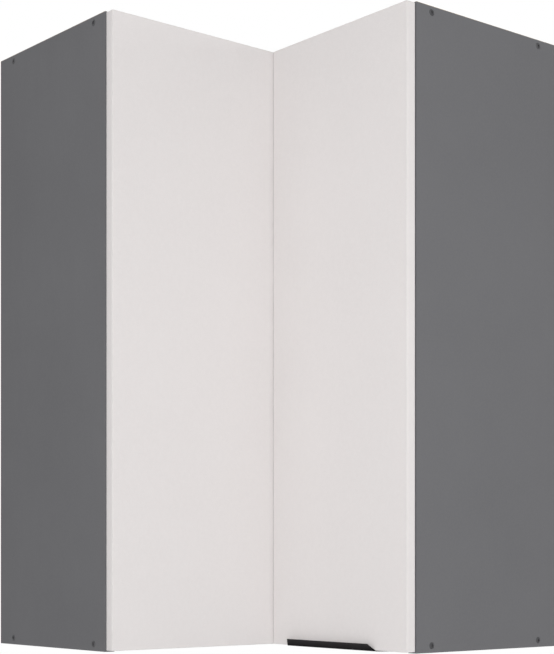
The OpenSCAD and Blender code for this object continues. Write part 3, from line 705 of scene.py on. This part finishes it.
# Carcass boards
boardSetup = {
    "round": 0.5 * mm,              # edge rounding of the banded boards
    "buttRound": 0.25 * mm,         # and of the boards between them
    "doorRound": 0.9 * mm,
    "backRound": 0.2 * mm,
    "screwFront": 30 * mm,          # panel screws from the boards' front edges
    "screwRear": 39 * mm,           # and from the wall
    "postScrews": (34 * mm, 54 * mm),
    "postScrewWall": 20 * mm,
    "screwSquare": 7.4 * mm,        # half the patch of face that holds a screw's hole
    "screwHole": 4.86 * mm,         # countersunk holes' radius
    "holeDepth": 3.2 * mm,
    "shelfSetback": 20 * mm,
    "notchSide": 32 * mm,           # back panels' notch at the hangers
    "notchDrop": 20.5 * mm,
    "cupHole": 17.5 * mm,
    "cupDepth": 12.5 * mm,
    "cupSquare": 20 * mm,
    "cupFromSide": 22.5 * mm,       # cup centres from the cabinet's outer face
    "hingeEnd": 100 * mm,           # outer hinges from the cabinet's ends
}
carcassDepth = boxOf("left_end_panel")[1][0]
cabinetLength = -cadLow[1]
cabinetHeight = cadHigh[2]
screwLevels = [float(np.mean(boxOf(name), axis=0)[2]) for name in ("bottom_panel", "top_panel")]
screwReach = (boardSetup["screwRear"], carcassDepth - boardSetup["screwFront"])
hingeLevels = (boardSetup["hingeEnd"], cabinetHeight / 2, cabinetHeight - boardSetup["hingeEnd"])

# Body, slot and materials. The second material is for raw sides and the holes of hinge cups.
boardKind = "carcass", "carcass_board", [laminate, chip]
postKind = "carcass", "carcass_board", [laminate]
backKind = "carcass", "back_board", [whiteFilm, brownBoard]
leftDoorKind = "left_door", "door_front", [doorFilm, chip]
rightDoorKind = "right_door", "door_front", [doorFilm]


def rectangle(low, high, first, second):
    return [(low[first], low[second]), (high[first], low[second]), (high[first], high[second]),
            (low[first], high[second])]


# L-shaped board, counter-clockwise from the left arm's end
def cornerOutline(low, high, front):
    return [(low[0], low[1]), (front, low[1]), (front, -front), (high[0], -front),
            (high[0], high[1]), (low[0], high[1])]


# A board in the box of the node that it stands for, rectangular if no outline is given
def boardPiece(name, node, kind, axes, radius, outline=None, **more):
    low, high = boxOf(node)
    body, slot, materials = kind
    shell = Shell()
    board(shell, axes, outline or rectangle(low, high, *axes[:2]), low[axes[2]], high[axes[2]],
          radius, **more)
    place(shell.make(name, materials), body, node)


def screwHole(at, side):
    return {"at": at, "square": boardSetup["screwSquare"], "radius": boardSetup["screwHole"],
            "depth": boardSetup["holeDepth"], "side": side, "skin": 0}


# The outer faces hold the screws. Rear and top edges are left raw.
def makeEndPanels(setup):
    holes = [screwHole((z, x), -1) for z in screwLevels for x in screwReach]
    boardPiece("leftEndPanel", "left_end_panel", boardKind, (2, 0, 1), setup["round"],
               holes=holes, rawSides=(0, 1))
    holes = [screwHole((-y, z), 1) for z in screwLevels for y in screwReach]
    boardPiece("rightEndPanel", "right_end_panel", boardKind, (1, 2, 0), setup["round"],
               holes=holes, rawSides=(1, 2))


# L-shaped boards and shelves, raw on the sides that touch the walls and panels, and the corner post
def makeCornerBoards(setup):
    raw = 0, 3, 4, 5
    for name, side in (("top", 1), ("bottom", -1)):
        node = name + "_panel"
        holes = [screwHole((x, -setup["postScrewWall"]), side) for x in setup["postScrews"]]
        boardPiece(name + "Board", node, boardKind, (0, 1, 2), setup["buttRound"],
                   cornerOutline(*boxOf(node), carcassDepth), holes=holes, rawSides=raw)
    for name in ("lower", "upper"):
        node = name + "_shelf"
        outline = cornerOutline(*boxOf(node), carcassDepth - setup["shelfSetback"])
        boardPiece(name + "Shelf", node, boardKind, (0, 1, 2), setup["round"], outline, rawSides=raw)
    boardPiece("cornerPost", "corner_post", postKind, (0, 1, 2), setup["buttRound"])


# White inside, bare brown fibre towards the wall, with a notch for the hanger
def makeBacks(setup):
    low, high = boxOf("left_back_panel")
    y, z = setup["notchSide"] - cabinetLength, high[2] - setup["notchDrop"]
    outline = [(low[1], low[2]), (high[1], low[2]), (high[1], high[2]), (y, high[2]), (y, z),
               (low[1], z)]
    boardPiece("leftBack", "left_back_panel", backKind, (1, 2, 0), setup["backRound"], outline,
               rawSides=range(6), skins=(1, 0))
    low, high = boxOf("right_back_panel")
    x = cabinetLength - setup["notchSide"]
    outline = [(low[2], low[0]), (high[2], low[0]), (high[2], x), (z, x), (z, high[0]),
               (low[2], high[0])]
    boardPiece("rightBack", "right_back_panel", backKind, (2, 0, 1), setup["backRound"], outline,
               rawSides=range(6), skins=(0, 1))


# The left door's rear face holds the hinge cups
def makeDoors(setup):
    holes = [{"at": (setup["cupFromSide"] - cabinetLength, z), "square": setup["cupSquare"],
              "radius": setup["cupHole"], "depth": setup["cupDepth"], "side": -1, "skin": 1}
             for z in hingeLevels]
    boardPiece("leftDoor", "left_door", leftDoorKind, (1, 2, 0), setup["doorRound"], holes=holes)
    boardPiece("rightDoor", "right_door", rightDoorKind, (2, 0, 1), setup["doorRound"])


makeEndPanels(boardSetup)
makeCornerBoards(boardSetup)
makeBacks(boardSetup)
makeDoors(boardSetup)
print("boards and doors made")

# Screws. low and high are the head's rim below and above the face that it sits on, and above is how
# far that face stands from the end of the node's box.
panelHead = {
    "socket": hexagon, "across": 4.4 * mm, "deep": 1.0 * mm, "radius": 4.8 * mm, "low": -3 * mm,
    "high": 0, "soft": 0.4 * mm, "rim": 0.5 * mm, "dome": 0, "shank": 4 * mm,
}
pullHead = {
    "socket": cross, "across": 3.2 * mm, "deep": 0.9 * mm, "radius": 2.95 * mm, "low": -1.4 * mm,
    "high": -0.05 * mm, "soft": 0.2 * mm, "rim": 0.05 * mm, "dome": 0.03 * mm, "shank": 9 * mm,
}
hingeHead = {
    "socket": cross, "across": 4.2 * mm, "deep": 1.2 * mm, "radius": 3.5 * mm, "low": -0.2 * mm,
    "high": 1.3 * mm, "soft": 0.5 * mm, "rim": 0.4 * mm, "dome": 0.6 * mm, "shank": 8 * mm,
    "above": 2 * mm,
}
cupHead = {
    "socket": cross, "across": 3.4 * mm, "deep": 0.9 * mm, "radius": 3 * mm, "low": -0.2 * mm,
    "high": 0.45 * mm, "soft": 0.25 * mm, "rim": 0.1 * mm, "dome": 0.15 * mm, "shank": 8 * mm,
    "above": 0.6 * mm,
}
foldHead = {
    "socket": cross, "across": 3.8 * mm, "deep": 1.0 * mm, "radius": 3.2 * mm, "low": -0.2 * mm,
    "high": 0.8 * mm, "soft": 0.4 * mm, "rim": 0.2 * mm, "dome": 0.4 * mm, "shank": 8 * mm,
    "above": 1.2 * mm,
}


def makeCarcassScrews(setup):
    shell = Shell()
    for z in screwLevels:
        for reach in screwReach:
            screwHead(shell, (reach, -cabinetLength, z), (0, -1, 0), panelHead)
            screwHead(shell, (cabinetLength, -reach, z), (1, 0, 0), panelHead)
    place(shell.make("panelScrewHeads", [darkZinc]), "carcass", "panel_screws")
    low, high = boxOf("post_screws")
    shell = Shell()
    for x in setup["postScrews"]:
        screwHead(shell, (x, -setup["postScrewWall"], high[2]), (0, 0, 1), panelHead)
        screwHead(shell, (x, -setup["postScrewWall"], low[2]), (0, 0, -1), panelHead)
    place(shell.make("postScrewHeads", [darkZinc]), "carcass", "post_screws")


# Two screws at each hinge level, whose heads reach the ends of the node's box at the lowest one
def makeHingeScrews(name, node, body, setup, outward):
    low, high = boxOf(node)
    middle = (low + high) / 2
    sunk = setup["above"]
    at = (low[0] + sunk, middle[1]) if outward[0] else (middle[0], high[1] - sunk)
    reach = hingeLevels[0] - low[2] - setup["radius"]
    shell = Shell()
    for z in hingeLevels:
        for side in (-1, 1):
            screwHead(shell, (*at, z + side * reach), outward, setup)
    place(shell.make(name, [zincPlate]), body, node)


makeCarcassScrews(boardSetup)
makeHingeScrews("hingePlateScrewHeads", "hinge_plate_screws", "carcass", hingeHead, (0, 1, 0))
makeHingeScrews("hingeCupScrewHeads", "hinge_cup_screws", "left_door", cupHead, (-1, 0, 0))
makeHingeScrews("leftFoldScrewHeads", "fold_screws_left", "left_door", foldHead, (-1, 0, 0))
makeHingeScrews("rightFoldScrewHeads", "fold_screws_right", "right_door", foldHead, (0, 1, 0))
print("screws made")

# Edge pull: a sheet bent round the door's lower edge, with mitred ends
pullSetup = {
    "thick": 1.2 * mm,
    "bend": 1.5 * mm,               # middle radius of the square bend
    "lipBend": 3 * mm,
    "slope": 9 * mm,                # how far the lip runs forwards
    "rise": 10.1 * mm,              # and how high its edge stands above the flat
    "foldIn": 0.24 * mm,            # sets the lip's bend back, so that the offset stays in line
    "lengthSteps": 14,
    "cutPoints": 3,                 # points each side of the lip's tip that show as a pale cut edge with a painted highlight
    "screwEnd": 30 * mm,
    "screwHigh": 12 * mm,
}


def makePull(setup):
    low, high = boxOf("edge_pull")
    half = setup["thick"] / 2
    rear = -high[1]
    reach = -low[1]
    fold = reach - setup["slope"]
    doorRear = -boxOf("right_door")[1][1]
    tip = half / math.sqrt(2)
    corners = [(rear + half, high[2]), (rear + half, low[2] + half),
               (fold - setup["foldIn"], low[2] + half),
               (reach - tip, low[2] + setup["rise"] + tip)]
    profile = sheetProfile(roundedLine(corners, (setup["bend"], setup["lipBend"])), setup["thick"])
    inset = np.maximum(profile[:, 0] - doorRear, 0)
    part = np.linspace(0, 1, setup["lengthSteps"] + 1)[:, None]
    x = low[0] + inset + part * (high[0] - low[0] - 2 * inset)
    y, z = (np.broadcast_to(column, x.shape) for column in (-profile[:, 0], profile[:, 1]))
    rows = np.stack([x, y, z], axis=-1)
    count = len(profile)
    fromTip = np.abs(np.arange(count + 1) - count // 2)
    # The lip's tip takes the pale cut edge colour, which also paints the highlight of its lit top edge
    cut = np.where(fromTip <= setup["cutPoints"], 1.0, 0.0)[None, :]
    shell = Shell()
    shell.grid(np.concatenate([rows, rows[:, :1]], axis=1), smooth=True, edge=cut, flip=True)
    near = np.arange(count // 2 + 1)
    for end, flip in ((rows[0], False), (rows[-1], True)):
        shell.grid(np.stack([end[near], end[-near % count]]), smooth=False, flip=flip)
    place(shell.make("edgePull", [powder]), "right_door", "edge_pull")
    shell = Shell()
    for x in (low[0] + setup["screwEnd"], (low[0] + high[0]) / 2, high[0] - setup["screwEnd"]):
        screwHead(shell, (x, high[1], low[2] + setup["screwHigh"]), (0, 1, 0), pullHead)
    place(shell.make("pullScrewHeads", [darkZinc]), "right_door", "pull_screws")


makePull(pullSetup)
print("pull made")

# Hinge cups: a deep-drawn bowl with a rolled rim, two wings and two ears for the link's pin
cupSetup = {
    "radius": 17.45 * mm,
    "rim": 18.5 * mm,
    "wall": 0.9 * mm,
    "deep": 11.6 * mm,
    "floor": 0.4 * mm,
    # Rim, in from its edge, and throat, out from the inner wall, with shares of the lip's height
    "rimCurve": ((0, 0.5), (0.25 * mm, 0.9), (0.7 * mm, 1)),
    "throat": ((0.8 * mm, 1), (0.3 * mm, 0.7), (0, 0)),
    # Bowl, in from the inner wall, with heights above the floor
    "bowl": ((0.2 * mm, 3 * mm), (0.9 * mm, 1 * mm), (2.6 * mm, 0.1 * mm)),
    "steps": 48,
    "wingWide": 11 * mm,
    "wingLong": 53 * mm,
    "wingThick": 0.75 * mm,
    "wingGap": 0.6 * mm,            # from the bowl's inner wall to where the wing starts
    "wingRound": 0.3 * mm,
    "earGap": 4.6 * mm,
    "earThick": 2 * mm,
    "earWide": 4 * mm,
    "earRound": 0.5 * mm,
    "earSunk": 0.2 * mm,            # how far the ears run into the floor
}


def makeCups(setup):
    face = boxOf("left_door")[0][0]
    pinX, pinY, _ = np.mean(boxOf("hinge_cup_pins"), axis=0)
    deep, halfWing, halfEar = setup["deep"], setup["wingWide"] / 2, setup["earWide"] / 2
    inner = setup["radius"] - setup["wall"]
    base = -deep - setup["floor"]
    for name, z in zip(("lower", "middle", "upper"), hingeLevels):
        low, high = boxOf(name + "_hinge_cup")
        y = (low[1] + high[1]) / 2
        lip = face - low[0]
        rings = [(0, base, False), (setup["radius"], base, False), (setup["radius"], 0, True),
                 (setup["rim"], 0, False)]
        rings += [(setup["rim"] - inward, lip * share, True) for inward, share in setup["rimCurve"]]
        rings += [(inner + away, lip * share, True) for away, share in setup["throat"]]
        rings += [(inner - inward, above - deep, True) for inward, above in setup["bowl"]]
        rings += [(inner / 2, -deep, True), (0, -deep, False)]
        shell = Shell()
        turned(shell, (face, y, z), (-1, 0, 0), rings, setup["steps"])
        for sign in (-1, 1):
            ends = sorted((z + sign * (inner + setup["wingGap"]), z + sign * setup["wingLong"] / 2))
            outline = rectangle((y - halfWing, ends[0]), (y + halfWing, ends[1]), 0, 1)
            board(shell, (1, 2, 0), outline, face - setup["wingThick"], face, setup["wingRound"])
            ear = sorted((z + sign * setup["earGap"], z + sign * (setup["earGap"] + setup["earThick"])))
            outline = rectangle((pinX - halfEar, pinY - halfEar),
                                (face + deep + setup["earSunk"], pinY + halfEar), 0, 1)
            board(shell, (0, 1, 2), outline, ear[0], ear[1], setup["earRound"])
        place(shell.make(name + "HingeCup", [nickelPlate]), "left_door",
              name + "_hinge_cup")


# Bumpers: clear domes on the right door's rear face, given as shares of their radius and height
bumperDome = ((1, 0.2), (0.94, 0.5), (0.8, 0.78), (0.55, 0.94))


def makeBumpers(dome):
    low, high = boxOf("door_bumpers")
    radius, thick = (high[0] - low[0]) / 2, high[1] - low[1]
    rings = [(0, 0, False), (radius, 0, False)]
    rings += [(radius * out, thick * up, True) for out, up in dome]
    shell = Shell()
    for z in (low[2] + radius, high[2] - radius):
        turned(shell, ((low[0] + high[0]) / 2, low[1], z), (0, 1, 0), rings + [(0, thick, True)])
    place(shell.make("doorBumpers", [silicone]), "right_door", "door_bumpers")


makeCups(cupSetup)
makeBumpers(bumperDome)
print("hinge cups and bumpers made")

# The pieces that keep their solid's shape: a finish and an edge softening for each slot. Points weld,
# flat faces become whole, and edges that turn more than the limit are rounded.
solidSetup = {
    "finish": {"nickel_steel": nickelPlate, "zinc_steel": zincPlate, "hanger_plastic": plastic},
    "soften": {"nickel_steel": 0.14 * mm, "zinc_steel": 0.12 * mm, "hanger_plastic": 0.6 * mm},
    "weld": 0.01 * mm,
    "flatDegrees": 0.5,
    "edgeDegrees": 40,
    "segments": 2,
}


def dressSolids(setup):
    for node in nodes.values():
        if node.hide_render:
            continue
        slot = node.material_slots[0].name
        for holder in node.material_slots:
            holder.material = setup["finish"][slot]
        weld = node.modifiers.new("weld", "WELD")
        weld.merge_threshold = setup["weld"]
        flat = node.modifiers.new("oneFlatFace", "DECIMATE")
        flat.decimate_type = "DISSOLVE"
        flat.angle_limit = math.radians(setup["flatDegrees"])
        bevel = node.modifiers.new("softEdge", "BEVEL")
        bevel.width = setup["soften"][slot]
        bevel.segments = setup["segments"]
        bevel.limit_method = "ANGLE"
        bevel.angle_limit = math.radians(setup["edgeDegrees"])


dressSolids(solidSetup)
print("solids dressed")


# 1 for the rays that show the backdrop: the camera's own, and those off mirrors and through glass
def backdropRays(tools):
    path = tools.add("ShaderNodeLightPath").outputs
    shiny = tools.math("MAXIMUM", path["Is Glossy Ray"], path["Is Transmission Ray"])
    return tools.math("MAXIMUM", path["Is Camera Ray"], shiny)


# The world is white to those rays, and a softer grey as a light
worldSetup = {"seen": 1.0, "light": (0.357, 0.357, 0.361)}
white = 1, 1, 1, 1


def makeWorld(setup):
    world = bpy.data.worlds.new("studio")
    scene.world = world
    world.use_nodes = True
    tools = Nodes(world.node_tree)
    tools.tree.nodes.clear()
    seen = tools.add("ShaderNodeBackground", Color=white, Strength=setup["seen"])
    light = tools.add("ShaderNodeBackground", Color=(*setup["light"], 1))
    mix = tools.add("ShaderNodeMixShader", i0=backdropRays(tools), i1=light.outputs[0],
                    i2=seen.outputs[0])
    tools.add("ShaderNodeOutputWorld", Surface=mix.outputs[0])


makeWorld(worldSetup)

# Pale floor below the cabinet, which fades into the white world far away
floorSetup = {
    "drop": 1.4,
    "size": 40.0,
    "dark": tint(234, 234, 234),
    "light": tint(240, 240, 240),
    "lift": 0.45,                   # light added where the camera sees the floor, to look white
    "fadeFrom": 2.0,
    "fadeTo": 7.0,
    "grainSize": 60.0,
    "grainDepth": 0.0002,
    "rough": 0.9,
    "specular": 0.1,
}


def makeFloor(setup):
    material, tools, shader, where = newMaterial("floorPaint")
    grain = useGroup(tools, grainGroup, where, setup["grainSize"])
    seen = backdropRays(tools)
    colour = tools.blend(tools.span(grain["Mask"], *wideSpan), setup["dark"], setup["light"])
    tools.set(shader, {"Base Color": colour, "Roughness": setup["rough"],
                       "Emission Color": white, "Emission Strength": tools.times(seen, setup["lift"]),
                       "Normal": tools.bump(grain["Height"], setup["grainDepth"]),
                       "Specular IOR Level": setup["specular"]})
    away = tools.add("ShaderNodeVectorMath", i0=where)
    away.operation = "LENGTH"
    fade = tools.span(away.outputs["Value"], setup["fadeFrom"], setup["fadeTo"])
    glow = tools.add("ShaderNodeEmission", Color=white, Strength=1.0)
    mix = tools.add("ShaderNodeMixShader", i0=tools.times(fade, seen), i1=shader.outputs[0],
                    i2=glow.outputs[0])
    tools.set(tools.tree.nodes["Material Output"], {"Surface": mix.outputs[0]})
    ends = np.array([-1, 1]) * setup["size"] / 2
    gridX, gridY = np.meshgrid(ends, ends)
    shell = Shell()
    shell.grid(np.stack([gridX, gridY, 0 * gridX - setup["drop"]], axis=-1), smooth=False)
    shell.make("floor", [material])


makeFloor(floorSetup)

# Soft boxes: place, what they point at, size in metres, power in watts
lampSetup = {
    "keyRight": {"at": (3.6, -0.6, 1.1), "to": (0.5, -0.4, 0.45), "size": 2.6, "power": 12},
    "keyLeft": {"at": (0.6, -3.6, 1.1), "to": (0.4, -0.4, 0.45), "size": 2.6, "power": 19},
    "front": {"at": (2.4, -2.1, 0.5), "to": (0.35, -0.35, 0.4), "size": 1.2, "power": 49},
    "sideRight": {"at": (1.6, 2.0, 0.7), "to": (0.6, -0.15, 0.45), "size": 1.2, "power": 25},
}


def makeLamps(setup):
    for name, lamp in setup.items():
        data = bpy.data.lights.new(name, "AREA")
        data.shape = "SQUARE"
        data.size = lamp["size"]
        data.energy = lamp["power"]
        aim = np.array(lamp["to"]) - np.array(lamp["at"])
        piece = bpy.data.objects.new(name, data)
        piece.location = lamp["at"]
        piece.rotation_euler = (math.atan2(math.hypot(aim[0], aim[1]), -aim[2]), 0,
                                math.atan2(aim[1], aim[0]) - math.pi / 2)
        piece.visible_glossy = False
        piece.visible_camera = False
        scene.collection.objects.link(piece)


makeLamps(lampSetup)
print("studio lit")

scene.view_settings.view_transform = "Standard"
